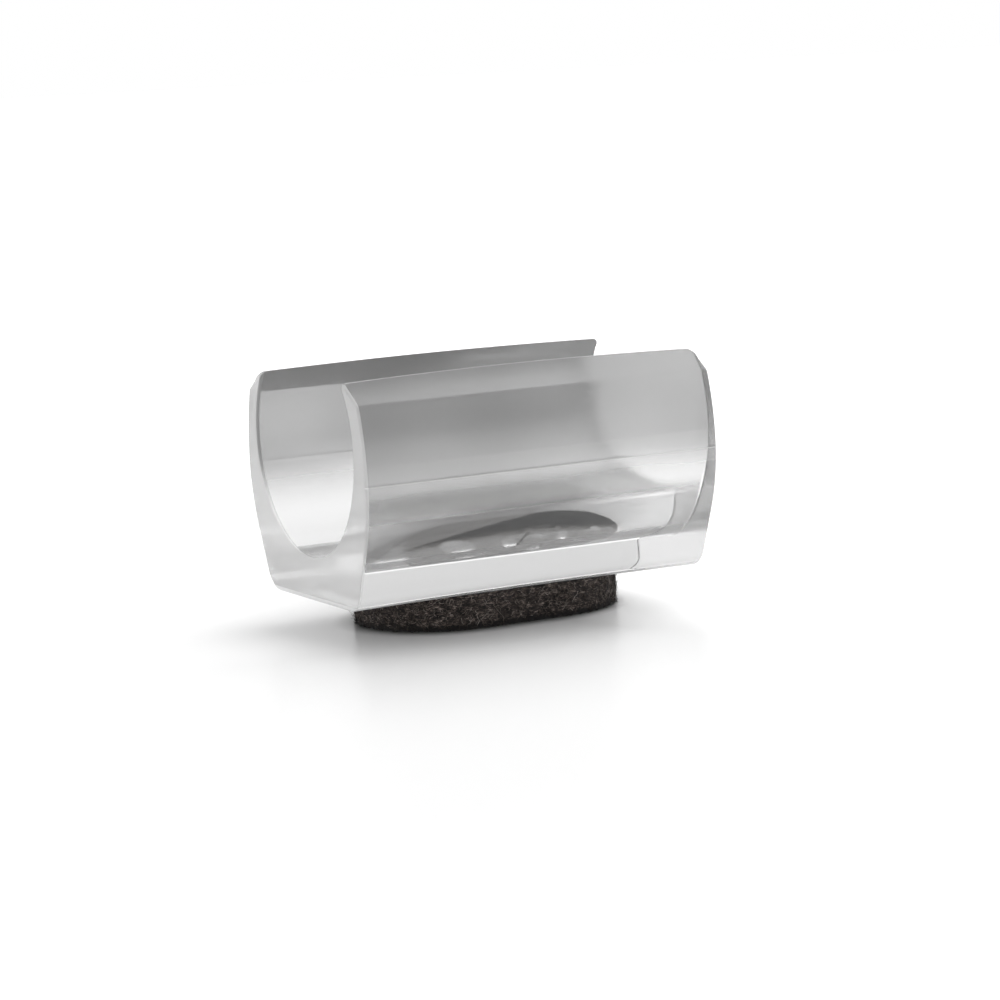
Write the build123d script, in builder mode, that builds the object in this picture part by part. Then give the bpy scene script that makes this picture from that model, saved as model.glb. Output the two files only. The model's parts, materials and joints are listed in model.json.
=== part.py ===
from build123d import *
import math
import os

os.makedirs("parts", exist_ok=True)

# A clip-on furniture glide: one moulded clear clip with an open round bore, and
# a felt pad stuck under its flat base.
# The part stands on its felt. X runs along the bore, Y across it, Z up, and the
# origin lies under the middle of the clip, level with the felt's underside.
# Lengths are in millimetres and angles in degrees.

# Clip, measured in its cross-section
bore_diameter = 25.0         # the open round bore
side_wall = 2.7              # plastic beside the bore at the parting line
web_thickness = 4.86         # plastic between the bore and the flat base
parting_drop = 3.45          # bore axis down to the parting line, the widest place
shoulder_radius = 30.0       # outer wall above the parting line
belly_radius = 19.6          # outer wall below it, until the flank starts
flank_angle = 21.0           # lean of the straight flank from upright
base_corner_radius = 3.0     # rounding between flank and base
wrap_angle = 34.0            # how far the bore closes past its widest place
lip_land = 0.5               # thickness of the lip's edge beside the bore
bevel_drop = 2.15            # height of the lead-in bevel, lip edge to ridge
ridge_radius = 0.8           # soft ridge where bevel and outer wall meet
lip_edge_radius = 0.1        # rounding of the lip's two long edges

# Clip, measured along the bore
clip_length = 43.4
lip_arch = 0.33              # rise of the lip line from its ends to its middle
lip_corner_radius = 0.7      # rounding of the lip's four ends
end_draft = 0.9              # lean of each end face below the parting line
end_edge_radius = 0.25       # rounding round the outside of each end face
bore_rim_bevel = 0.2         # broken corner round the bore's two rims

# Felt pad and the film that holds it
pad_length = 30.75
pad_width = 20.2
felt_thickness = 3.5
felt_edge_radius = 0.35
film_thickness = 0.2
film_setback = 0.3           # film inside the felt's outline, all round

# Places worked out from those sizes
bore_radius = bore_diameter / 2
base_height = felt_thickness + film_thickness
bore_height = base_height + web_thickness + bore_radius
half_width = bore_radius + side_wall
half_length = clip_length / 2
base_level = -(bore_radius + web_thickness)

# The cross-section is drawn about the bore axis: local x is Y, local y is Z.
section_plane = Plane(origin=(0, 0, bore_height), x_dir=(0, 1, 0), z_dir=(1, 0, 0))
# The side view is drawn about the same axis: local x is X, local y is Z.
side_plane = Plane(origin=(0, 0, bore_height), x_dir=(1, 0, 0), z_dir=(0, -1, 0))

# Edge of the lip at the clip's two ends, and the ridge on the shoulder arc
lip_radius = bore_radius + lip_land
lip_x = lip_radius * math.cos(math.radians(wrap_angle))
lip_z = lip_radius * math.sin(math.radians(wrap_angle))
ridge_z = lip_z - bevel_drop
shoulder_sweep = math.degrees(math.asin((ridge_z + parting_drop) / shoulder_radius))


with BuildPart() as clip_body:
    # Cross-section: right half of the outline, mirrored. The bevel is drawn on
    # up to the top of the arched lip line, and the bore is cut later.
    with BuildSketch(section_plane) as section:
        with BuildLine():
            belly = JernArc(
                start=(half_width, -parting_drop),
                tangent=(0, -1),
                radius=belly_radius,
                arc_size=-flank_angle,
            )
            flank_run = (belly @ 1).Y - base_level
            flank_reach = flank_run * math.tan(math.radians(flank_angle))
            corner = Vector((belly @ 1).X - flank_reach, base_level)
            shoulder = JernArc(
                start=(half_width, -parting_drop),
                tangent=(0, 1),
                radius=shoulder_radius,
                arc_size=shoulder_sweep,
            )
            ridge = shoulder @ 1
            crown_x = lip_x - (ridge.X - lip_x) * lip_arch / bevel_drop
            Polyline((0, base_level), corner, belly @ 1)
            Polyline(ridge, (crown_x, lip_z + lip_arch), (0, lip_z + lip_arch))
            mirror(about=Plane.YZ)
        make_face()
        base_corners = section.vertices().group_by(Axis.Y)[0].sort_by(Axis.X)
        fillet([base_corners[0], base_corners[-1]], radius=base_corner_radius)
        ridge_points = section.vertices().filter_by(lambda v: abs(v.Y - ridge_z) < 0.001)
        fillet(ridge_points, radius=ridge_radius)
    extrude(amount=clip_length, both=True)

    # Side view: arched lip line, upright ends down to the parting line, and a
    # little draft from there to the base.
    with BuildSketch(side_plane) as side:
        draft_run = -parting_drop - base_level
        draft_inset = draft_run * math.tan(math.radians(end_draft))
        with BuildLine():
            ThreePointArc(
                (-half_length, lip_z),
                (0, lip_z + lip_arch),
                (half_length, lip_z),
            )
            Polyline(
                (half_length, lip_z),
                (half_length, -parting_drop),
                (half_length - draft_inset, base_level),
                (draft_inset - half_length, base_level),
                (-half_length, -parting_drop),
                (-half_length, lip_z),
            )
        make_face()
        lip_corners = side.vertices().group_by(Axis.Y)[-1]
        fillet(lip_corners, radius=lip_corner_radius)
    extrude(amount=clip_length, both=True, mode=Mode.INTERSECT)

    # The outside of both end faces is rounded.
    end_faces = clip_body.faces().filter_by(lambda face: abs(face.normal_at().X) > 0.99)
    end_rims = [
        edge
        for edge in end_faces.edges()
        if sum(edge in face.edges() for face in end_faces) == 1
    ]
    fillet(end_rims, radius=end_edge_radius)

    # The bore, with a small bevel at each rim, opens the mouth between the lips.
    with BuildSketch(side_plane):
        with BuildLine():
            Polyline(
                (-half_length, 0),
                (-half_length, bore_radius + bore_rim_bevel),
                (bore_rim_bevel - half_length, bore_radius),
                (half_length - bore_rim_bevel, bore_radius),
                (half_length, bore_radius + bore_rim_bevel),
                (half_length, 0),
                close=True,
            )
        make_face()
    bore_axis = Axis(side_plane.origin, (1, 0, 0))
    revolve(axis=bore_axis, mode=Mode.SUBTRACT)

    # The two long edges of each lip are softened.
    lands = clip_body.faces().sort_by(Axis.Z)[-2:]
    lip_edges = lands.edges().filter_by(lambda edge: edge.length > half_length)
    fillet(lip_edges, radius=lip_edge_radius)
clip_body.part.label = "clip_body"
export_step(clip_body.part, "parts/clip_body.step")

# The film and the felt are cut as stadiums, round at both ends.
with BuildPart() as adhesive_film:
    with BuildSketch(Plane.XY.offset(felt_thickness)):
        SlotOverall(pad_length - 2 * film_setback, pad_width - 2 * film_setback)
    extrude(amount=film_thickness)
adhesive_film.part.label = "adhesive_film"
export_step(adhesive_film.part, "parts/adhesive_film.step")

with BuildPart() as felt_pad:
    with BuildSketch():
        SlotOverall(pad_length, pad_width)
    extrude(amount=felt_thickness)
    felt_rims = felt_pad.edges().group_by(Axis.Z)[0]
    fillet(felt_rims, radius=felt_edge_radius)
felt_pad.part.label = "felt_pad"
export_step(felt_pad.part, "parts/felt_pad.step")
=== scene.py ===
import json
import math

import bmesh
import bpy
from mathutils import Matrix, Vector, noise


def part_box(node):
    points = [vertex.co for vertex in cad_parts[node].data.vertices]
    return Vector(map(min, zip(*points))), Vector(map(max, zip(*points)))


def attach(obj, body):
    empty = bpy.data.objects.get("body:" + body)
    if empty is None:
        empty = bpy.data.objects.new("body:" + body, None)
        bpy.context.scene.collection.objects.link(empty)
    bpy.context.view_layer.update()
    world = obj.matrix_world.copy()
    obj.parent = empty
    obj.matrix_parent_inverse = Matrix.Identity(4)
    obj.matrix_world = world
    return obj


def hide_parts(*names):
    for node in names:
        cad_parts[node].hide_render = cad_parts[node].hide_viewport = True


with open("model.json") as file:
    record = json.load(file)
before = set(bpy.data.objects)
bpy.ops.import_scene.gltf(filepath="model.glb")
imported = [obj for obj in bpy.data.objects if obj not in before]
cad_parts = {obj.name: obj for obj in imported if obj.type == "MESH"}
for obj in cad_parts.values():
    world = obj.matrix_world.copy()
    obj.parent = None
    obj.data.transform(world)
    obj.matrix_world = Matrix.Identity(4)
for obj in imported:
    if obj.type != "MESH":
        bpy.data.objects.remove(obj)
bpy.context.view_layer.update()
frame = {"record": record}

# Clip body
# One clear plastic moulding round an open bore. The halves of the mould closed
# along a fine raised seam, where the bulging walls are widest, and the bevelled
# lips spring apart as the clip is snapped on.
MM = 0.001
clip_low, clip_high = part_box("clip_body")
felt_low, felt_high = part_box("felt_pad")
bore_mount = next(m for m in frame["record"]["mounts"] if m["name"] == "tube_bore")
bore_radius = bore_mount["dims"]["r_mm"] * MM
bore_height = bore_mount["pos_m"][2]
half_length = clip_high.x
half_width = clip_high.y
base_level = clip_low.z

parting_height = bore_height - 3.45 * MM
shoulder_radius = 30.0 * MM
belly_radius = 19.6 * MM
flank_angle = math.radians(21.0)
base_corner_radius = 3.0 * MM
wrap_angle = math.radians(34.0)
lip_land = 0.5 * MM
bevel_drop = 2.15 * MM
ridge_radius = 0.8 * MM
lip_arch = 0.33 * MM
lip_corner_radius = 0.7 * MM
end_draft = math.radians(0.9)
base_arch = 0.16 * MM
seam_half_width = 0.09 * MM
seam_height = 0.015 * MM
seam_depth = 0.02 * MM    # points this near the widest place belong to the seam
seam_clear = 1.5          # half seams left free of wall points on each side
seam_reach = 1.6          # half seams within which the seam's bulge is ignored
rim_round = 0.25 * MM
bore_rim_share = 0.6      # the bore's rims are rounded by this share of rim_round
lip_edge_share = 0.36     # and the lips' long edges by this one
felt_shift = -0.3 * MM    # the pad was stuck on a little off the middle
touching = 1e-7           # points closer than this count as one
straight_steps = 44
corner_steps = 6

lip_y = (bore_radius + lip_land) * math.cos(wrap_angle)
lip_z = bore_height + (bore_radius + lip_land) * math.sin(wrap_angle)
ridge_z = lip_z - bevel_drop
shoulder_sweep = math.asin((ridge_z - parting_height) / shoulder_radius)
ridge_y = half_width - shoulder_radius * (1 - math.cos(shoulder_sweep))
flank_top_y = half_width - belly_radius * (1 - math.cos(flank_angle))
flank_top_z = parting_height - belly_radius * math.sin(flank_angle)
flat_half_width = (
    flank_top_y
    - (flank_top_z - base_level) * math.tan(flank_angle)
    - base_corner_radius * math.tan(math.pi / 4 - flank_angle / 2)
)


def arc(centre, radius, start, end, steps):
    """Points of an arc in the section, from one angle to another."""
    turn = [start + (end - start) * i / steps for i in range(steps + 1)]
    return [Vector((centre[0] + radius * math.cos(a), centre[1] + radius * math.sin(a))) for a in turn]


def line(start, end, steps):
    """Points of a straight stretch, both ends included."""
    return [Vector(start).lerp(Vector(end), i / steps) for i in range(steps + 1)]


def rounded(before, corner, after, radius, steps):
    """Points of the arc that rounds a corner between two straight stretches."""
    back = (before - corner).normalized()
    on = (after - corner).normalized()
    half = back.angle(on) / 2
    centre = corner + (back + on).normalized() * radius / math.sin(half)
    first = corner + back * radius / math.tan(half) - centre
    last = corner + on * radius / math.tan(half) - centre
    start = math.atan2(first.y, first.x)
    sweep = math.atan2(first.cross(last), first.dot(last))
    return arc(centre, radius, start, start + sweep, steps)


def joined(*stretches):
    """One line of points from stretches that share their end points."""
    points = list(stretches[0])
    for stretch in stretches[1:]:
        skip = 1 if (stretch[0] - points[-1]).length < touching else 0
        points += stretch[skip:]
    return points


def nearest_to(place, points):
    """Number of the point that lies nearest to a place."""
    return min(range(len(points)), key=lambda i: (points[i] - place).length)


def half_section(lip_line):
    """Right half of the section, from the base's middle round to the bore's lowest point.

    Returns the points, and the numbers of the seam's point, the lip's outer
    edge, the bore's upper edge and the bore's point level with the seam.
    """
    belly_start = Vector((half_width, parting_height))
    belly_middle = belly_start - Vector((belly_radius, 0))
    belly = arc(belly_middle, belly_radius, 0, -flank_angle, steps=14)
    run = belly[-1].y - base_level
    corner = Vector((belly[-1].x - run * math.tan(flank_angle), base_level))
    foot = rounded(belly[-1], corner, Vector((0, base_level)), base_corner_radius, steps=12)
    shoulder_middle = belly_start - Vector((shoulder_radius, 0))
    shoulder = arc(shoulder_middle, shoulder_radius, 0, shoulder_sweep, steps=16)
    ridge = rounded(shoulder[-2], shoulder[-1], Vector((lip_y, lip_z)), ridge_radius, steps=6)
    slope = (ridge_y - lip_y) / bevel_drop
    lip_outer = Vector((lip_y - (lip_line - lip_z) * slope, lip_line))
    lip_inner = Vector((math.sqrt(bore_radius ** 2 - (lip_line - bore_height) ** 2), lip_line))

    seam_steps = 6
    seam = []
    for i in range(seam_steps + 1):
        along = -1 + 2 * i / seam_steps
        bulge = seam_height * (1 - along * along)
        seam.append(Vector((half_width - touching + bulge, parting_height + along * seam_half_width)))

    wall_low = [p for p in belly[::-1] if p.y < parting_height - seam_clear * seam_half_width]
    wall_high = [p for p in shoulder if parting_height + seam_clear * seam_half_width < p.y < ridge[0].y]
    upper = math.asin((lip_line - bore_height) / bore_radius)
    level = math.asin((parting_height - bore_height) / bore_radius)
    middle = Vector((0, bore_height))
    bore_upper = arc(middle, bore_radius, upper, level, steps=24)
    bore_lower = arc(middle, bore_radius, level, -math.pi / 2, steps=36)
    points = joined(
        line((0, base_level), foot[-1], steps=6),
        foot[::-1],
        line(foot[0], belly[-1], steps=6),
        wall_low,
        seam,
        wall_high,
        ridge,
        line(ridge[-1], lip_outer, steps=3),
        line(lip_outer, lip_inner, steps=2),
        bore_upper,
        bore_lower,
    )
    places = (seam[seam_steps // 2], lip_outer, lip_inner, bore_upper[-1])
    return points, [nearest_to(place, points) for place in places]


def lip_line_at(x):
    """Height of the lip line: a shallow arch, rounded off at both ends."""
    height = lip_z + lip_arch * (1 - (x / half_length) ** 2)
    past = max(0.0, abs(x) - (half_length - lip_corner_radius))
    return height - lip_corner_radius + math.sqrt(lip_corner_radius ** 2 - past ** 2)


def clip_stations():
    """Places along the bore: close together at the rounded lip corners."""
    inner = half_length - lip_corner_radius
    plain = [inner * (-1 + 2 * i / straight_steps) for i in range(straight_steps + 1)]
    bend = []
    for i in range(1, corner_steps + 1):
        bend.append(inner + lip_corner_radius * math.sin(math.pi / 2 * i / corner_steps))
    return [-x for x in bend[::-1]] + plain + bend


def underside(x, y):
    """Height of the clip's underside over a place of the pad: arched, and rounded up beside the flat."""
    past = min(base_corner_radius, max(0.0, abs(y) - flat_half_width))
    rise = base_corner_radius - math.sqrt(base_corner_radius ** 2 - past ** 2)
    return base_level + rise + base_arch * (1 - (x / half_length) ** 2)


def rim_inset(x):
    """How far the section draws in near an end, where the rim is rounded."""
    past = min(rim_round, max(0.0, abs(x) - (half_length - rim_round)))
    return rim_round - math.sqrt(rim_round ** 2 - past ** 2)


def outward(loop, j):
    """Direction out of the plastic at one point of the section, as if it had no seam."""
    p = loop[j]
    near_seam = abs(p.y - parting_height) < seam_reach * seam_half_width
    if near_seam and abs(p.x) > half_width - seam_depth:
        return Vector((math.copysign(1, p.x), 0))
    along = loop[(j + 1) % len(loop)] - loop[j - 1]
    return Vector((along.y, -along.x)).normalized()


def skin(mesh, rings):
    """Faces between rings that have as many points each."""
    count = len(rings[0])
    for a, b in zip(rings, rings[1:]):
        for j in range(count):
            k = (j + 1) % count
            mesh.faces.new((a[j], a[k], b[k], b[j]))


def smooth_piece(name, mesh):
    """A smooth object in the scene, made from a mesh that is being built."""
    data = bpy.data.meshes.new(name)
    mesh.to_mesh(data)
    mesh.free()
    data.shade_smooth()
    piece = bpy.data.objects.new(name, data)
    bpy.context.scene.collection.objects.link(piece)
    return piece


def build_clip():
    """The clip's mesh: the section repeated along the bore, with drafted and rounded ends."""
    rings = []
    mesh = bmesh.new()
    for x in clip_stations():
        right, (seam_at, outer_at, inner_at, level_at) = half_section(lip_line_at(x))
        loop = right + [Vector((-p.x, p.y)) for p in right[-2:0:-1]]
        ring = []
        for j, sharp in enumerate(loop):
            side_j = min(j, len(loop) - j)
            if side_j < outer_at:
                share = 1.0
            else:
                share = lip_edge_share if side_j <= inner_at else bore_rim_share
            p = sharp - outward(loop, j) * rim_inset(x) * share
            below = max(0.0, parting_height - p.y)
            reach = 1 - below * math.tan(end_draft) / half_length
            depth = min(1.0, below / (parting_height - base_level))
            sag = base_arch * (1 - (x / half_length) ** 2) * depth ** 4
            ring.append(mesh.verts.new((x * reach, p.x, p.y + sag)))
        rings.append(ring)
    skin(mesh, rings)
    count = len(rings[0])

    def mirrored(j):
        return (count - j) % count

    for ring, turn in ((rings[0], -1), (rings[-1], 1)):
        right_prong = ring[seam_at:level_at + 1]
        left_prong = ring[mirrored(level_at):mirrored(seam_at) + 1]
        lower = ring[:seam_at + 1] + ring[level_at:mirrored(level_at) + 1] + ring[mirrored(seam_at):]
        for cap in (right_prong, left_prong, lower):
            mesh.faces.new(cap[::turn])
    mesh.normal_update()

    weight = mesh.edges.layers.float.new("bevel_weight_edge")
    for a, b in zip(rings, rings[1:]):
        for j in (outer_at, inner_at, mirrored(inner_at), mirrored(outer_at)):
            mesh.edges.get((a[j], b[j]))[weight] = lip_edge_share

    piece = smooth_piece("clip_moulding", mesh)
    for face in piece.data.polygons:
        face.use_smooth = len(face.vertices) == 4
    bevel = piece.modifiers.new("rounded lips", "BEVEL")
    bevel.limit_method = "WEIGHT"
    bevel.width = rim_round
    bevel.segments = 3
    bevel.harden_normals = True
    return piece


def finished(piece):
    """The piece with its modifiers turned into plain mesh."""
    view = bpy.context.evaluated_depsgraph_get()
    data = bpy.data.meshes.new_from_object(piece.evaluated_get(view), depsgraph=view)
    piece.modifiers.clear()
    piece.data = data
    return piece


def new_material(name):
    """A new material, its Principled shader, its nodes and its links."""
    material = bpy.data.materials.new(name)
    material.use_nodes = True
    nodes = material.node_tree.nodes
    shader = nodes["Principled BSDF"]
    return material, shader, nodes, material.node_tree.links


def ramp_of(nodes, stops):
    """A colour ramp with the given places and grey or colour values."""
    ramp = nodes.new("ShaderNodeValToRGB")
    elements = ramp.color_ramp.elements
    while len(elements) < len(stops):
        elements.new(0.5)
    for element, (place, colour) in zip(elements, stops):
        element.position = place
        element.color = (*colour, 1)
    return ramp


def spread(nodes, links, source, low, high, to_low, to_high):
    """A value carried smoothly from one range to another."""
    node = nodes.new("ShaderNodeMapRange")
    node.interpolation_type = "SMOOTHSTEP"
    for name, value in (("From Min", low), ("From Max", high), ("To Min", to_low), ("To Max", to_high)):
        node.inputs[name].default_value = value
    links.new(source, node.inputs["Value"])
    return node.outputs["Result"]


def figured(nodes, links, kind, left, right):
    """A value worked out from two others, each of which is a number or a socket."""
    node = nodes.new("ShaderNodeMath")
    node.operation = kind
    for place, value in enumerate((left, right)):
        if isinstance(value, (int, float)):
            node.inputs[place].default_value = value
        else:
            links.new(value, node.inputs[place])
    return node.outputs[0]


def split(nodes, links, vector):
    """The X, Y and Z of a vector."""
    node = nodes.new("ShaderNodeSeparateXYZ")
    links.new(vector, node.inputs[0])
    return node.outputs


def length_of(nodes, links, parts):
    """Length of a vector that is given by some of its parts."""
    whole = nodes.new("ShaderNodeCombineXYZ")
    for axis, value in parts.items():
        links.new(value, whole.inputs[axis])
    length = nodes.new("ShaderNodeVectorMath")
    length.operation = "LENGTH"
    links.new(whole.outputs[0], length.inputs[0])
    return length.outputs["Value"]


def bump(nodes, links, height, strength, distance):
    """A bump node, whose Normal comes out of its only output."""
    node = nodes.new("ShaderNodeBump")
    node.inputs["Strength"].default_value = strength
    node.inputs["Distance"].default_value = distance
    links.new(height, node.inputs["Height"])
    return node


def cloud(nodes, links, where, scale, detail, roughness):
    """A noise value on the piece's own coordinates."""
    node = nodes.new("ShaderNodeTexNoise")
    node.inputs["Scale"].default_value = scale
    node.inputs["Detail"].default_value = detail
    node.inputs["Roughness"].default_value = roughness
    links.new(where, node.inputs["Vector"])
    return node.outputs["Fac"]


def off_middle_line(nodes, links, where):
    """Distance from the line between the centres of the pad's two round ends."""
    apart = split(nodes, links, where)
    along = figured(nodes, links, "SUBTRACT", apart["X"], felt_shift)
    along = figured(nodes, links, "ABSOLUTE", along, 0)
    past = figured(nodes, links, "SUBTRACT", along, felt_high.x - felt_high.y)
    past = figured(nodes, links, "MAXIMUM", past, 0)
    return length_of(nodes, links, {"X": past, "Y": apart["Y"]})


def clear_plastic():
    """Clear moulded plastic, polished outside and left matt where the bore grips."""
    material, shader, nodes, links = new_material("clear plastic")
    where = nodes.new("ShaderNodeTexCoord").outputs["Object"]
    apart = split(nodes, links, where)
    height = apart["Z"]
    over_axis = figured(nodes, links, "SUBTRACT", height, bore_height)
    radius = length_of(nodes, links, {"Y": apart["Y"], "Z": over_axis})
    in_bore = spread(nodes, links, radius, bore_radius + 0.05 * MM, bore_radius + 0.3 * MM, 1, 0)
    up_side = spread(nodes, links, height, matt_from, matt_full, 0, 1)
    patches = cloud(nodes, links, where, 90.0, 0.0, 0.5)
    patchy = spread(nodes, links, patches, 0.2, 0.8, 0.88, 1.0)
    matt = figured(nodes, links, "MULTIPLY", in_bore, up_side)
    matt = figured(nodes, links, "MULTIPLY", matt, patchy)

    tone = nodes.new("ShaderNodeMix")
    tone.data_type = "RGBA"
    tone.inputs["A"].default_value = (*skin_colour, 1)
    tone.inputs["B"].default_value = (*matt_colour, 1)
    links.new(matt, tone.inputs["Factor"])
    links.new(tone.outputs["Result"], shader.inputs["Base Color"])
    clear = spread(nodes, links, matt, 0, 1, skin_clear, matt_clear)
    # Along the seam's outer edge the plastic is made less clear and whiter: partly a rough moulding flash,
    # partly a painted highlight.
    off_seam = figured(nodes, links, "SUBTRACT", height, parting_height)
    off_seam = figured(nodes, links, "ABSOLUTE", off_seam, 0)
    seam_flash_and_highlight = spread(nodes, links, off_seam, 0.3 * seam_half_width, seam_half_width, seam_painted_highlight, 0)
    off_axis = figured(nodes, links, "ABSOLUTE", apart["Y"], 0)
    outside = spread(nodes, links, off_axis, half_width - 0.3 * MM, half_width - 0.1 * MM, 0, 1)
    seam_flash_and_highlight = figured(nodes, links, "MULTIPLY", seam_flash_and_highlight, outside)
    clear = figured(nodes, links, "SUBTRACT", clear, seam_flash_and_highlight)
    # The near end is made less clear and so whiter than the far end: painted light on the near end.
    left_end = spread(nodes, links, apart["X"], -end_full, -end_from, near_end_painted_light, 0)
    clear = figured(nodes, links, "SUBTRACT", clear, left_end)
    under = spread(nodes, links, height, base_level + 0.4 * MM, base_level + 0.6 * MM, 1, 0)
    from_line = off_middle_line(nodes, links, where)
    # Low on the underside, round the pad, the plastic is made less clear and whiter: painted light in the
    # shade round the pad.
    painted_light_beside_pad = spread(nodes, links, from_line, felt_high.y - 0.1 * MM, felt_high.y + 0.3 * MM, 0, beside_pad_painted_white)
    painted_light_beside_pad = figured(nodes, links, "MULTIPLY", under, painted_light_beside_pad)
    clear = figured(nodes, links, "SUBTRACT", clear, painted_light_beside_pad)
    links.new(clear, shader.inputs["Transmission Weight"])
    shader.inputs["IOR"].default_value = plastic_ior

    off_middle = figured(nodes, links, "ABSOLUTE", apart["X"], 0)
    at_end = spread(nodes, links, off_middle, end_from, end_full, 0, 1)
    pressed = figured(nodes, links, "MULTIPLY", at_end, end_rough)
    pad_edge = (felt_high.y - 0.8 * MM, felt_high.y - 0.2 * MM)
    beside_pad = spread(nodes, links, from_line, *pad_edge, bonded_rough, base_rough)
    under = figured(nodes, links, "MULTIPLY", under, beside_pad)
    pressed = figured(nodes, links, "MAXIMUM", pressed, under)
    haze = spread(nodes, links, cloud(nodes, links, where, 900.0, 4.0, 0.6), 0.3, 0.7, *skin_rough)
    frost = figured(nodes, links, "MULTIPLY", matt, matt_rough)
    gripping = spread(nodes, links, height, grip_from, grip_full, 0, grip_rough)
    gripping = figured(nodes, links, "MULTIPLY", gripping, in_bore)
    frost = figured(nodes, links, "MAXIMUM", frost, gripping)
    rough = figured(nodes, links, "ADD", haze, frost)
    rough = figured(nodes, links, "MAXIMUM", rough, pressed)
    links.new(rough, shader.inputs["Roughness"])

    swell = bump(nodes, links, cloud(nodes, links, where, 110.0, 1.0, 0.4), 0.12, 0.012 * MM)
    grain = bump(nodes, links, cloud(nodes, links, where, 9000.0, 3.0, 0.6), 0.05, 0.002 * MM)
    links.new(swell.outputs["Normal"], grain.inputs["Normal"])
    links.new(grain.outputs["Normal"], shader.inputs["Normal"])

    absorb = nodes.new("ShaderNodeVolumeAbsorption")
    absorb.inputs["Color"].default_value = (*plastic_tint, 1)
    absorb.inputs["Density"].default_value = plastic_density
    links.new(absorb.outputs["Volume"], nodes["Material Output"].inputs["Volume"])
    return material


matt_from = bore_height - 9.5 * MM
matt_full = bore_height - 0.5 * MM
grip_from = bore_height - 8.7 * MM
grip_full = bore_height - 7.3 * MM
end_from = half_length - 0.45 * MM
end_full = half_length - 0.25 * MM
skin_colour = (0.935, 0.935, 0.935)
matt_colour = (0.38, 0.38, 0.38)
skin_clear = 0.95
matt_clear = 0.4
# whitening along the seam: rough flash and painted highlight
seam_painted_highlight = 0.45
# whitening of the near end, painted light
near_end_painted_light = 0.5
# whitening of the underside round the pad, painted light
beside_pad_painted_white = 0.5
skin_rough = (0.03, 0.07)
matt_rough = 0.19
grip_rough = 0.17
end_rough = 0.2
base_rough = 0.25
bonded_rough = 0.1
plastic_ior = 1.49
plastic_tint = (0.9, 0.9, 0.9)
plastic_density = 15.0

clip = finished(build_clip())
clip.data.materials.clear()
clip.data.materials.append(clear_plastic())
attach(clip, "root")
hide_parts("clip_body")

# Felt pad
# A stadium of dark brown pressed wool felt, stamped out with upright sides and
# glued under the base. Loose fibres stand off its cut side.
felt_foot = 0.4 * MM      # rounding of the lower edge
felt_crown = 0.12 * MM    # rounding of the upper edge
felt_trim = 0.1 * MM      # pad inside its solid's outline, before its lumps
felt_points = 340
cut_rows = 12
face_rows = 5
face_gap = 1.9 * MM       # between the rings on its two flat faces
cut_lumps = 0.14 * MM     # how far the cut side swells in and out
row_waver = 0.03 * MM
felt_gap = 0.06 * MM      # from the pad's upper edge to the base


def stadium(half_x, half_y, steps):
    """Points round a stadium that is round at both ends, evenly spaced."""
    straight = half_x - half_y
    whole = 4 * straight + 2 * math.pi * half_y
    points = []
    for i in range(steps):
        along = whole * i / steps
        side = 1
        if along >= whole / 2:
            along -= whole / 2
            side = -1
        if along < math.pi * half_y:
            a = along / half_y - math.pi / 2
            p = Vector((straight + half_y * math.cos(a), half_y * math.sin(a)))
        else:
            p = Vector((straight - (along - math.pi * half_y), half_y))
        points.append(p * side)
    return points


def lumpy(place, size):
    """Uneven surface of pressed wool, as an offset either way of about the given size."""
    soft = noise.noise(place / (0.9 * MM))
    fine = noise.noise(place / (0.35 * MM))
    return size * (0.6 * soft + 0.5 * fine)


def felt_rows(height):
    """Height and inset of each ring of the pad, from its lower face up to its upper one."""
    rows = []
    for i in range(face_rows, 0, -1):
        rows.append((0.0, felt_foot + face_gap * i))
    for i in range(4):
        a = math.radians(30 * i)
        rows.append((felt_foot * (1 - math.cos(a)), felt_foot * (1 - math.sin(a))))
    for i in range(1, cut_rows):
        rows.append((felt_foot + (height - felt_foot - felt_crown) * i / cut_rows, 0.0))
    for i in range(3, -1, -1):
        a = math.radians(30 * i)
        rows.append((height - felt_crown * (1 - math.cos(a)), felt_crown * (1 - math.sin(a))))
    rows.append((height, 0.3 * MM))
    rows.append((height, 0.5 * MM))
    for i in range(1, face_rows + 1):
        rows.append((height, felt_crown + face_gap * i))
    return rows


def build_felt():
    """The pad's mesh: lumpy round its cut, with its upper edge held just under the base."""
    mesh = bmesh.new()
    height = felt_high.z - felt_low.z
    rings = []
    for up, inset in felt_rows(height):
        ring = []
        for p in stadium(felt_high.x - inset - felt_trim, felt_high.y - inset - felt_trim, felt_points):
            place = Vector((p.x + felt_shift, p.y, felt_low.z + up))
            out = Vector((p.x, p.y, 0)).normalized() if inset < felt_foot else Vector((0, 0, 0))
            place += out * lumpy(place, cut_lumps)
            place.z += lumpy(place + Vector((0, 0, 0.01)), row_waver) if 0 < up < height else 0
            if up > height / 2 and inset < felt_foot:
                gap = underside(place.x, place.y) - felt_high.z
                place.z += (gap - felt_gap) * (up / height - 0.5) * 2
            ring.append(mesh.verts.new(place))
        rings.append(ring)
    skin(mesh, rings)
    mesh.faces.new(rings[0][::-1])
    mesh.faces.new(rings[-1])
    return smooth_piece("felt", mesh)


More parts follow.
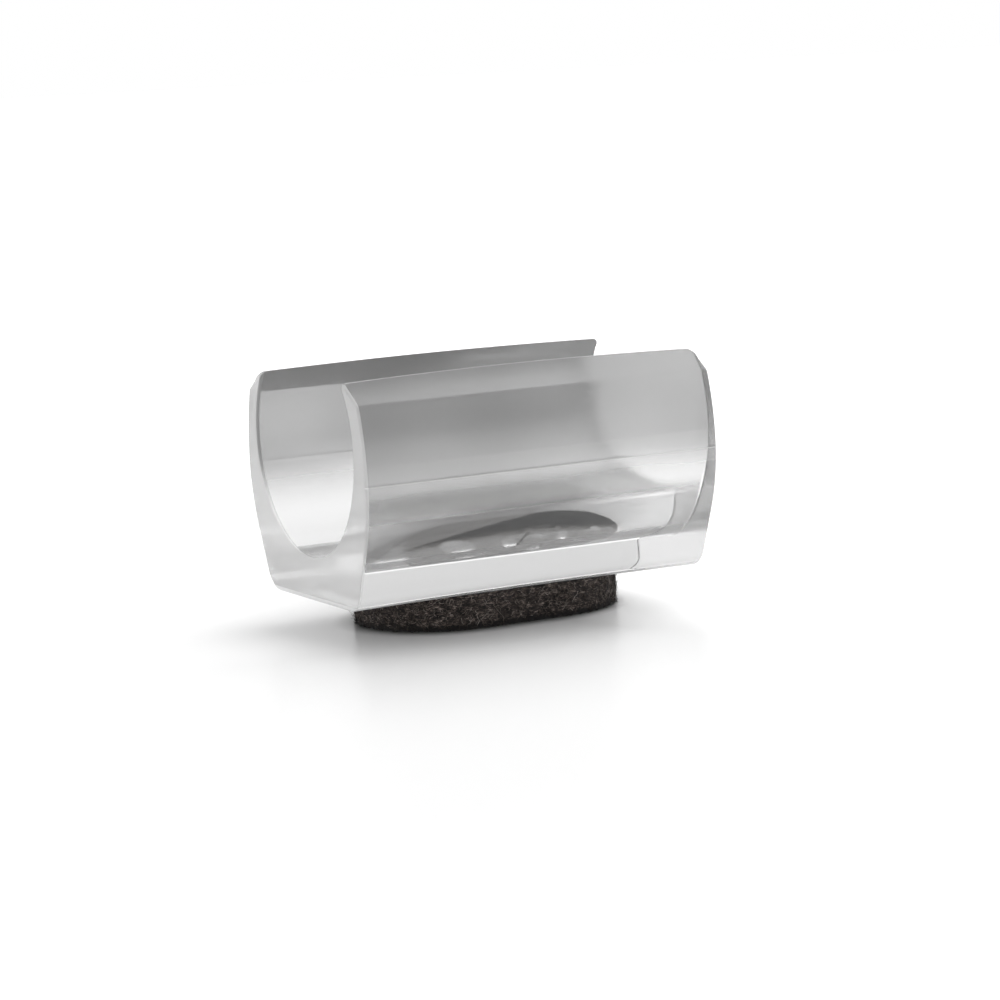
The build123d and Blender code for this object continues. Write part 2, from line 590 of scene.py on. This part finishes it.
def wool_felt():
    """Dark mixed wool: near-black and brown clumps with tan and grey flecks, with painted shade at its
    foot.
    """
    material, shader, nodes, links = new_material("wool felt")
    where = nodes.new("ShaderNodeTexCoord").outputs["Object"]

    def turned(rotation, scale):
        node = nodes.new("ShaderNodeMapping")
        node.inputs["Rotation"].default_value = rotation
        node.inputs["Scale"].default_value = scale
        links.new(where, node.inputs["Vector"])
        return node.outputs[0]

    clumps = cloud(nodes, links, turned((0.0, 0.0, 0.0), (1.0, 1.0, 2.2)), 900.0, 4.0, 0.7)
    strands = cloud(nodes, links, turned((0.5, 0.4, 0.3), (0.35, 0.35, 1.6)), 5200.0, 3.0, 0.75)
    others = cloud(nodes, links, turned((-0.7, 0.9, 1.1), (0.3, 0.5, 1.5)), 5600.0, 3.0, 0.75)
    wool = figured(nodes, links, "MAXIMUM", strands, others)
    wool = figured(nodes, links, "MULTIPLY", wool, strand_share)
    clumped = figured(nodes, links, "MULTIPLY", clumps, clump_share)
    wool = figured(nodes, links, "ADD", wool, clumped)
    # Darker towards its foot: painted shade where the felt meets the floor.
    foot = spread(nodes, links, split(nodes, links, where)["Z"], *foot_painted_shade, -0.2, 0)
    wool = figured(nodes, links, "ADD", wool, foot)
    ramp = ramp_of(nodes, (
        (0.50, (0.002, 0.0014, 0.0013)),
        (0.56, (0.012, 0.0082, 0.0072)),
        (0.60, (0.048, 0.036, 0.031)),
        (0.64, (0.16, 0.125, 0.109)),
        (0.70, (0.45, 0.385, 0.345)),
    ))
    links.new(wool, ramp.inputs["Fac"])
    links.new(ramp.outputs["Color"], shader.inputs["Base Color"])
    links.new(spread(nodes, links, clumps, 0.3, 0.7, 0.98, 0.86), shader.inputs["Roughness"])
    nap = bump(nodes, links, wool, 0.8, 0.12 * MM)
    links.new(nap.outputs["Normal"], shader.inputs["Normal"])
    shader.inputs["Sheen Weight"].default_value = 0.15
    shader.inputs["Sheen Roughness"].default_value = 0.5
    return material


def loose_fibre():
    """Wool fibres of a few natural shades, one shade a fibre, darker near the floor as painted shade."""
    material, shader, nodes, links = new_material("loose wool fibre")
    shade = nodes.new("ShaderNodeAttribute")
    shade.attribute_name = "shade"
    where = nodes.new("ShaderNodeTexCoord").outputs["Object"]
    worn = spread(nodes, links, cloud(nodes, links, where, 4000.0, 2.0, 0.6), 0.3, 0.7, -0.08, 0.08)
    mixed = figured(nodes, links, "ADD", shade.outputs["Fac"], worn)
    # Fibres darker towards the floor: painted shade at the felt's foot.
    foot = spread(nodes, links, split(nodes, links, where)["Z"], 0.1 * MM, 0.9 * MM, -0.4, 0)
    mixed = figured(nodes, links, "ADD", mixed, foot)
    ramp = ramp_of(nodes, (
        (0.0, (0.006, 0.0045, 0.004)),
        (0.4, (0.03, 0.022, 0.018)),
        (0.62, (0.11, 0.085, 0.07)),
        (0.82, (0.28, 0.24, 0.21)),
        (1.0, (0.62, 0.56, 0.52)),
    ))
    links.new(mixed, ramp.inputs["Fac"])
    links.new(ramp.outputs["Color"], shader.inputs["Base Color"])
    links.new(spread(nodes, links, mixed, 0, 1, 0.8, 0.6), shader.inputs["Roughness"])
    return material


def fibre_tree(material):
    """Geometry nodes that scatter bent fibres over the upright cut of the felt."""
    tree = bpy.data.node_groups.new("felt fibres", "GeometryNodeTree")
    tree.interface.new_socket("Felt", in_out="INPUT", socket_type="NodeSocketGeometry")
    for name, value in fibre_sizes.items():
        socket = tree.interface.new_socket(name, in_out="INPUT", socket_type="NodeSocketFloat")
        socket.default_value = value
        socket.min_value = 0.0
    tree.interface.new_socket("Fibres", in_out="OUTPUT", socket_type="NodeSocketGeometry")
    nodes = tree.nodes
    links = tree.links
    given = nodes.new("NodeGroupInput")
    result = nodes.new("NodeGroupOutput")

    def add(kind, **settings):
        node = nodes.new(kind)
        for name, value in settings.items():
            setattr(node, name, value)
        return node

    facing = split(nodes, links, add("GeometryNodeInputNormal").outputs[0])
    upright = add("FunctionNodeCompare", data_type="FLOAT", operation="LESS_THAN")
    links.new(figured(nodes, links, "ABSOLUTE", facing["Z"], 0), upright.inputs[0])
    upright.inputs[1].default_value = upright_limit
    scatter = add("GeometryNodeDistributePointsOnFaces", distribute_method="RANDOM")
    scatter.inputs["Seed"].default_value = 7
    links.new(given.outputs["Felt"], scatter.inputs["Mesh"])
    links.new(upright.outputs[0], scatter.inputs["Selection"])
    links.new(given.outputs["Per square metre"], scatter.inputs["Density"])

    bend = add("GeometryNodeCurvePrimitiveBezierSegment")
    bend.inputs["Resolution"].default_value = 7
    for name, place in fibre_bend.items():
        bend.inputs[name].default_value = place
    plain = add("GeometryNodeResampleCurve")
    plain.inputs["Count"].default_value = 6
    links.new(bend.outputs[0], plain.inputs["Curve"])

    lean = add("FunctionNodeRandomValue", data_type="FLOAT")
    lean.inputs[2].default_value = least_lean
    links.new(given.outputs["Lean"], lean.inputs[3])
    lean.inputs["Seed"].default_value = 3
    spin = add("FunctionNodeRandomValue", data_type="FLOAT")
    spin.inputs[3].default_value = 2 * math.pi
    spin.inputs["Seed"].default_value = 4
    own_turn = add("ShaderNodeCombineXYZ")
    links.new(figured(nodes, links, "MULTIPLY", lean.outputs[1], -1.0), own_turn.inputs["Y"])
    links.new(spin.outputs[1], own_turn.inputs["Z"])
    local = add("FunctionNodeEulerToRotation")
    links.new(own_turn.outputs[0], local.inputs[0])
    whole = add("FunctionNodeRotateRotation", rotation_space="LOCAL")
    links.new(scatter.outputs["Rotation"], whole.inputs[0])
    links.new(local.outputs[0], whole.inputs[1])

    size = add("FunctionNodeRandomValue", data_type="FLOAT")
    size.inputs["Seed"].default_value = 5
    mostly_short = figured(nodes, links, "POWER", size.outputs[1], short_power)
    longer = add("ShaderNodeMath", operation="MULTIPLY_ADD")
    links.new(mostly_short, longer.inputs[0])
    longer.inputs[1].default_value = long_gain
    longer.inputs[2].default_value = shortest_share
    fibre_reach = figured(nodes, links, "MULTIPLY", longer.outputs[0], given.outputs["Fibre length"])
    grow = figured(nodes, links, "DIVIDE", fibre_reach, bend_length)
    place = add("GeometryNodeInstanceOnPoints")
    links.new(scatter.outputs["Points"], place.inputs["Points"])
    links.new(plain.outputs[0], place.inputs["Instance"])
    links.new(whole.outputs[0], place.inputs["Rotation"])
    links.new(grow, place.inputs["Scale"])

    shade = add("FunctionNodeRandomValue", data_type="FLOAT")
    shade.inputs["Seed"].default_value = 6
    keep = add("GeometryNodeStoreNamedAttribute", data_type="FLOAT", domain="INSTANCE")
    keep.inputs["Name"].default_value = "shade"
    links.new(place.outputs[0], keep.inputs["Geometry"])
    links.new(shade.outputs[1], keep.inputs["Value"])
    real = add("GeometryNodeRealizeInstances")
    links.new(keep.outputs[0], real.inputs[0])

    spot = add("GeometryNodeInputPosition")
    wander = add("ShaderNodeTexNoise")
    wander.inputs["Scale"].default_value = crimp_scale
    wander.inputs["Detail"].default_value = 1.0
    links.new(spot.outputs[0], wander.inputs["Vector"])
    centred = add("ShaderNodeVectorMath", operation="SUBTRACT")
    links.new(wander.outputs["Color"], centred.inputs[0])
    centred.inputs[1].default_value = (0.5, 0.5, 0.5)
    curled = add("ShaderNodeVectorMath", operation="SCALE")
    links.new(centred.outputs[0], curled.inputs[0])
    links.new(given.outputs["Curl"], curled.inputs["Scale"])
    crimp = add("GeometryNodeSetPosition")
    links.new(real.outputs[0], crimp.inputs["Geometry"])
    links.new(curled.outputs[0], crimp.inputs["Offset"])
    moved = split(nodes, links, add("GeometryNodeInputPosition").outputs[0])
    above = figured(nodes, links, "MAXIMUM", moved["Z"], fibre_lowest)
    kept_under = figured(nodes, links, "MINIMUM", above, fibre_highest)
    back = add("ShaderNodeCombineXYZ")
    for axis, value in (("X", moved["X"]), ("Y", moved["Y"]), ("Z", kept_under)):
        links.new(value, back.inputs[axis])
    held = add("GeometryNodeSetPosition")
    links.new(crimp.outputs[0], held.inputs["Geometry"])
    links.new(back.outputs[0], held.inputs["Position"])

    round_profile = add("GeometryNodeCurvePrimitiveCircle", mode="RADIUS")
    round_profile.inputs["Resolution"].default_value = 3
    links.new(given.outputs["Fibre radius"], round_profile.inputs["Radius"])
    body = add("GeometryNodeCurveToMesh")
    body.inputs["Fill Caps"].default_value = True
    links.new(held.outputs[0], body.inputs["Curve"])
    links.new(round_profile.outputs[0], body.inputs["Profile Curve"])
    last = add("GeometryNodeRealizeInstances")
    links.new(body.outputs[0], last.inputs[0])
    finish = add("GeometryNodeSetMaterial")
    finish.inputs["Material"].default_value = material
    links.new(last.outputs[0], finish.inputs["Geometry"])
    links.new(finish.outputs[0], result.inputs[0])
    return tree


strand_share = 0.75
clump_share = 0.35
# how high the painted shade at the felt's foot reaches
foot_painted_shade = (0.1 * MM, 0.8 * MM)
fibre_sizes = {
    "Per square metre": 1.9e7,
    "Fibre length": 0.0008,
    "Fibre radius": 0.000019,
    "Curl": 0.0011,
    "Lean": 0.1,
}
fibre_bend = {
    "Start": (0, 0, -0.00004),
    "Start Handle": (0.00035, 0, 0.0001),
    "End Handle": (0.0008, 0.00025, 0.0001),
    "End": (0.001, 0.0004, 0.00002),
}
bend_length = 0.0011
least_lean = -0.2
short_power = 5.0         # most fibres are short, and a few are long
long_gain = 2.4
shortest_share = 0.55
crimp_scale = 1900.0
upright_limit = 0.75      # fibres grow where the normal rises or falls less than this
fibre_lowest = 0.00003    # and their middle lines stay between these two heights
fibre_highest = 0.00364

felt = build_felt()
felt.data.materials.append(wool_felt())
fibres = bpy.data.objects.new("felt_fibres", felt.data.copy())
bpy.context.scene.collection.objects.link(fibres)
scattered = fibres.modifiers.new("fibres", "NODES")
scattered.node_group = fibre_tree(loose_fibre())
for socket in scattered.node_group.interface.items_tree:
    if socket.name in fibre_sizes:
        scattered[socket.identifier] = fibre_sizes[socket.name]
fibres = finished(fibres)
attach(felt, "root")
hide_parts("felt_pad")
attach(fibres, "root")

# Adhesive film
# A clear pressure-sensitive film between the base and the felt. It has wetted
# the base unevenly: dark where it is bonded, pale where air is trapped. The
# middle of its pale zone is painted lighter as painted light, and the bubbles
# are painted white as a painted glint.
# The places drawn on it are in millimetres, from the clip's middle.
film_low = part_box("adhesive_film")[0]
film_rows = 96
film_columns = 196
film_margin = 0.08 * MM    # film inside the outline of the pad's solid
film_edge = 0.035 * MM     # thickness at its rim
felt_bite = 0.04 * MM      # how far it is pressed into the felt
edge_from = 0.4 * MM       # it thickens from this far inside its rim
edge_blend = 0.5 * MM      # and is whole this much farther in
base_bite = 0.012          # how far it is pressed into the base, in mm
air_drop = 0.035           # how far it falls away over trapped air, in mm
wet_line = (
    (-20, -1.0), (-15.5, -2.9), (-12.3, -4.4), (-9.5, -5.7), (-7.2, -6.7),
    (-4.2, -7.8), (-1.4, -8.8), (1.5, -9.6), (4.0, -10.5), (20, -10.6),
)
wet_blend = 0.2
pale_setback = 2.8
pale_slant = 0.26
pale_blend = 2.4
end_line = -12.4
end_slant = 0.25
end_blend = 1.6
caught_hair = ((2.7, -5.0), (2.3, -2.6), (2.0, 1.4))
hair_half_width = 0.13
wetted_tone = 0.014
dry_tone = 0.38
end_tone = 0.8
# tone over trapped air, above white: a painted glint over the bubbles
bubble_painted_glint_tone = 1.4

# Each bubble's middle, half length, half width and turn in degrees
bubbles = (
    (-5.8, -2.6, 3.0, 1.6, 52),
    (1.0, -1.0, 2.4, 0.8, 68),
    (4.5, -2.9, 1.3, 0.6, 50),
    (7.5, -2.0, 1.9, 0.6, 78),
    (11.6, -3.0, 1.1, 0.5, 60),
    (-10.4, 3.4, 1.8, 0.8, 30),
    (-2.7, 4.6, 2.4, 1.0, 120),
    (5.6, 5.2, 1.7, 0.7, 70),
    (10.8, 2.6, 1.4, 0.6, 20),
)


def clamped(value):
    """The value, kept between 0 and 1."""
    return min(1.0, max(0.0, value))


def film_at(x, y):
    """Lightness of the film and its share of trapped air at a place given in millimetres."""
    place = Vector((x, y, 0))
    edge = 0.3 * noise.noise(place * 1.3) + 0.15 * noise.noise(place * 5)
    for (x0, y0), (x1, y1) in zip(wet_line, wet_line[1:]):
        if x0 <= x <= x1:
            front = y - (y0 + (y1 - y0) * (x - x0) / (x1 - x0)) + 0.6 * edge
    dry = 1 - clamped(front / wet_blend)
    tone = wetted_tone + (dry_tone - wetted_tone) * dry
    # The middle of the dry zone is lifted much lighter, with a mottle: painted light where little light
    # reaches the film.
    middle = clamped((front - pale_setback - pale_slant * x + 3 * edge) / pale_blend)
    fine = 0.5 + 0.5 * noise.noise(place * 2.3 + Vector((0, 0, 4)))
    tone += middle * (0.4 + 0.5 * fine)
    left_end = 1 - clamped((x - end_line - end_slant * y + 2 * edge) / end_blend)
    tone += left_end * (end_tone - tone)
    air = 0.0
    for bx, by, long_half, wide_half, turn in bubbles:
        a = math.radians(turn)
        along = (x - bx) * math.cos(a) + (y - by) * math.sin(a)
        across = (y - by) * math.cos(a) - (x - bx) * math.sin(a)
        away = math.hypot(along / long_half, across / wide_half) + 0.7 * edge
        air = max(air, clamped((1.15 - away) / 0.3))
    for (x0, y0), (x1, y1) in zip(caught_hair, caught_hair[1:]):
        if y0 <= y <= y1 and abs(x - x0 - (x1 - x0) * (y - y0) / (y1 - y0)) < hair_half_width:
            air *= 0.3
            tone = wetted_tone
    # Over the bubbles the tone goes to white: a painted glint, on top of the real dip in the film.
    return tone + air * (bubble_painted_glint_tone - tone), max(0.8 * dry, left_end, air)


def rim_of(grid):
    """The points round the outside of a grid, in order."""
    right_side = [row[-1] for row in grid[1:]]
    left_side = [row[0] for row in grid[-2:0:-1]]
    return grid[0] + right_side + grid[-1][-2::-1] + left_side


def build_film():
    """The film's mesh: a thin stadium that follows the base, with each place's lightness kept on it."""
    half_y = felt_high.y - film_margin
    straight = felt_high.x - felt_high.y
    mesh = bmesh.new()
    lightness = {}
    sides = []
    for top in (True, False):
        grid = []
        for i in range(film_rows + 1):
            y = half_y * math.sin(math.pi * (i / film_rows - 0.5))
            half_x = straight + math.sqrt(max(0.0, half_y * half_y - y * y))
            row = []
            for j in range(film_columns + 1):
                x = half_x * (-1 + 2 * j / film_columns)
                shade, trapped = film_at((x + felt_shift) / MM, y / MM)
                z = underside(x, y) + (base_bite - air_drop * trapped) * MM
                if not top:
                    inside = half_y - math.hypot(max(0.0, abs(x) - straight), y)
                    full = clamped((inside - edge_from) / edge_blend)
                    thin = z - film_edge
                    z = thin + (film_low.z - felt_bite - thin) * full
                vert = mesh.verts.new((x + felt_shift, y, z))
                lightness[vert] = shade
                row.append(vert)
            grid.append(row)
        sides.append(grid)
    upper, lower = sides
    for i in range(film_rows):
        for j in range(film_columns):
            mesh.faces.new((upper[i][j], upper[i][j + 1], upper[i + 1][j + 1], upper[i + 1][j]))
            mesh.faces.new((lower[i][j], lower[i + 1][j], lower[i + 1][j + 1], lower[i][j + 1]))
    rim_up = rim_of(upper)
    rim_low = rim_of(lower)
    count = len(rim_up)
    for j in range(count):
        k = (j + 1) % count
        mesh.faces.new((rim_low[j], rim_low[k], rim_up[k], rim_up[j]))
    mesh.normal_update()
    tone = mesh.loops.layers.float.new("tone")
    for face in mesh.faces:
        upright = abs(face.normal.z) < 0.5
        for corner in face.loops:
            corner[tone] = wetted_tone if upright else lightness[corner.vert]
    return smooth_piece("adhesive", mesh)


def adhesive():
    """Tacky clear film over dark felt: dark where it is bonded, pale over trapped air, and white over the
    bubbles as a painted glint.
    """
    material, shader, nodes, links = new_material("adhesive")
    tone = nodes.new("ShaderNodeAttribute")
    tone.attribute_name = "tone"
    where = nodes.new("ShaderNodeTexCoord").outputs["Object"]
    specks = cloud(nodes, links, where, 2600.0, 4.0, 0.7)
    uneven = spread(nodes, links, specks, 0.3, 0.7, 0.75, 1.25)
    ramp = ramp_of(nodes, ((0.0, (0.0, 0.0, 0.0)), (0.3, (0.3, 0.29, 0.28)), (1.0, (1.0, 1.0, 1.0))))
    links.new(figured(nodes, links, "MULTIPLY", tone.outputs["Fac"], uneven), ramp.inputs["Fac"])
    links.new(ramp.outputs["Color"], shader.inputs["Base Color"])
    links.new(spread(nodes, links, specks, 0.3, 0.7, 0.25, 0.5), shader.inputs["Roughness"])
    pebble = bump(nodes, links, specks, 0.3, 0.02 * MM)
    links.new(pebble.outputs["Normal"], shader.inputs["Normal"])
    return material


film = build_film()
film.data.materials.append(adhesive())
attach(film, "root")
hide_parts("adhesive_film")

# Floor
# A plain pale floor for the part to stand on. Its colour darkens round the pad,
# where the shadow lies, as a painted shadow, and is painted lighter to the right
# as painted light. A little glow lifts it to white farther off, and more to the
# right, where it is a painted pool of light.
floor_reach = 20.0
floor_rough = 0.28
# greys of the painted shadow round the pad, of the open floor, and of the painted light to its right
painted_shadow_grey = 0.1
shade_open = 0.9
painted_lit_grey = 0.8
# glow away from the pad, and the extra glow of the painted light to the right
open_glow = 0.17
painted_light_glow = 0.28


def pale_floor():
    """Satin white with a painted shadow under and round the pad, painted light to its right, and glowing
    faintly away from it.
    """
    material, shader, nodes, links = new_material("pale floor")
    where = nodes.new("ShaderNodeTexCoord").outputs["Object"]
    along = split(nodes, links, where)["X"]
    away = off_middle_line(nodes, links, where)
    pad_edge = felt_high.y

    # Painted shadow: the floor's own colour is darkened under and round the pad.
    shade = spread(nodes, links, away, pad_edge - 0.8 * MM, pad_edge + 3 * MM, painted_shadow_grey, shade_open)
    # Painted light: to the right the colour is raised again.
    painted_lit_side = spread(nodes, links, along, 9 * MM, 15 * MM, painted_shadow_grey, painted_lit_grey)
    links.new(figured(nodes, links, "MAXIMUM", shade, painted_lit_side), shader.inputs["Base Color"])

    # Toward the right the glow comes close to the pad: painted light there.
    sideways = spread(nodes, links, along, 3 * MM, 10.5 * MM, 0, 1)
    clear_of_pad = spread(nodes, links, away, pad_edge - 0.5 * MM, pad_edge + 1.5 * MM, 0, 1)
    sideways = figured(nodes, links, "MULTIPLY", sideways, clear_of_pad)
    # Near the pad the glow is left off, so the floor stays darker: painted shadow.
    open_floor = spread(nodes, links, away, pad_edge + 3 * MM, pad_edge + 20 * MM, 0, 1)
    open_floor = figured(nodes, links, "MAXIMUM", open_floor, sideways)
    seen = nodes.new("ShaderNodeLightPath").outputs
    lift = figured(nodes, links, "MULTIPLY", seen["Is Camera Ray"], open_floor)
    lift = figured(nodes, links, "MAXIMUM", lift, seen["Is Glossy Ray"])
    lift = figured(nodes, links, "MAXIMUM", lift, seen["Is Transmission Ray"])
    # More glow to the right: a painted pool of light.
    painted_light_pool = spread(nodes, links, along, 9 * MM, 20 * MM, 0, painted_light_glow)
    glow = figured(nodes, links, "ADD", open_glow, painted_light_pool)
    links.new(figured(nodes, links, "MULTIPLY", lift, glow), shader.inputs["Emission Strength"])
    shader.inputs["Emission Color"].default_value = (1, 1, 1, 1)
    shader.inputs["Roughness"].default_value = floor_rough
    shader.inputs["Specular IOR Level"].default_value = 0.4
    return material


floor_mesh = bpy.data.meshes.new("floor")
floor_corners = [(floor_reach * x, floor_reach * y, 0) for x, y in ((-1, -1), (1, -1), (1, 1), (-1, 1))]
floor_mesh.from_pydata(floor_corners, [], [(0, 1, 2, 3)])
floor = bpy.data.objects.new("floor", floor_mesh)
bpy.context.scene.collection.objects.link(floor)
floor_mesh.materials.append(pale_floor())

# Light
# A white sky that is a little dimmer overhead and to the right in what shines
# or shows through, a softer fill for what is matt, and one broad lamp above.
overhead_dim = 0.1
right_dim = 0.2
fill_left = 0.85
fill_right = 0.45
lamp_spread = math.radians(60)
lamp_strength = 2.15
lamp_from = Vector((0.75, 0.5, 1.0))


def white_sky():
    """The sky that is seen, mirrored or shows through, and the fill that lights all else."""
    world = bpy.data.worlds.new("studio")
    world.use_nodes = True
    nodes = world.node_tree.nodes
    links = world.node_tree.links
    aim = split(nodes, links, nodes.new("ShaderNodeTexCoord").outputs["Generated"])
    overhead = spread(nodes, links, aim["Z"], 0.3, 0.85, 0, overhead_dim)
    raised = spread(nodes, links, aim["Z"], 0.05, 0.3, 0, right_dim)
    to_right = spread(nodes, links, aim["X"], -0.25, 0.3, 0, 1)
    dimmer = figured(nodes, links, "MULTIPLY", raised, to_right)
    dimmer = figured(nodes, links, "ADD", dimmer, overhead)
    seen = nodes.new("ShaderNodeLightPath").outputs
    bounced = figured(nodes, links, "SUBTRACT", 1.0, seen["Is Camera Ray"])
    dimmer = figured(nodes, links, "MULTIPLY", bounced, dimmer)
    backdrop = nodes["Background"]
    backdrop.inputs["Color"].default_value = (1, 1, 1, 1)
    links.new(figured(nodes, links, "SUBTRACT", 1.0, dimmer), backdrop.inputs["Strength"])

    fill = nodes.new("ShaderNodeBackground")
    fill.inputs["Color"].default_value = (1, 1, 1, 1)
    links.new(spread(nodes, links, aim["X"], -0.95, -0.2, fill_left, fill_right), fill.inputs["Strength"])
    sharp = figured(nodes, links, "MAXIMUM", seen["Is Glossy Ray"], seen["Is Transmission Ray"])
    sharp = figured(nodes, links, "MAXIMUM", sharp, seen["Is Camera Ray"])
    mix = nodes.new("ShaderNodeMixShader")
    links.new(sharp, mix.inputs["Fac"])
    links.new(fill.outputs[0], mix.inputs[1])
    links.new(backdrop.outputs[0], mix.inputs[2])
    links.new(mix.outputs[0], nodes["World Output"].inputs["Surface"])
    return world


bpy.context.scene.world = white_sky()
top_light = bpy.data.lights.new("top light", "SUN")
top_light.angle = lamp_spread
top_light.energy = lamp_strength
holder = bpy.data.objects.new("top light", top_light)
holder.rotation_euler = lamp_from.to_track_quat("Z", "Y").to_euler()
holder.visible_transmission = False
holder.visible_glossy = False
bpy.context.scene.collection.objects.link(holder)

# Camera
# A long lens, low and to the left. Its place, angles and focal length come from
# fitting a pinhole camera; focal_share is the focal length in picture widths.
camera_place = Vector((-160.255, -308.200, 60.851)) * MM
camera_yaw = math.radians(27.7857)
camera_pitch = math.radians(7.9380)
camera_roll = math.radians(-2.9384)
focal_share = 3.11797

ahead = Vector((
    math.sin(camera_yaw) * math.cos(camera_pitch),
    math.cos(camera_yaw) * math.cos(camera_pitch),
    -math.sin(camera_pitch),
))
side = ahead.cross(Vector((0, 0, 1))).normalized()
upright = side.cross(ahead)
right_way = math.cos(camera_roll) * side + math.sin(camera_roll) * upright
up_way = -math.sin(camera_roll) * side + math.cos(camera_roll) * upright
camera_data = bpy.data.cameras.new("camera")
camera_data.sensor_fit = "HORIZONTAL"
camera_data.sensor_width = 36
camera_data.lens = focal_share * camera_data.sensor_width
camera_data.clip_start = 0.01
camera = bpy.data.objects.new("camera", camera_data)
turn = Matrix((right_way, up_way, -ahead)).transposed()
camera.matrix_world = Matrix.Translation(camera_place) @ turn.to_4x4()
bpy.context.scene.collection.objects.link(camera)
bpy.context.scene.camera = camera

bpy.context.scene.view_settings.view_transform = "Standard"
bpy.context.scene.cycles.max_bounces = 16
bpy.context.scene.cycles.glossy_bounces = 8
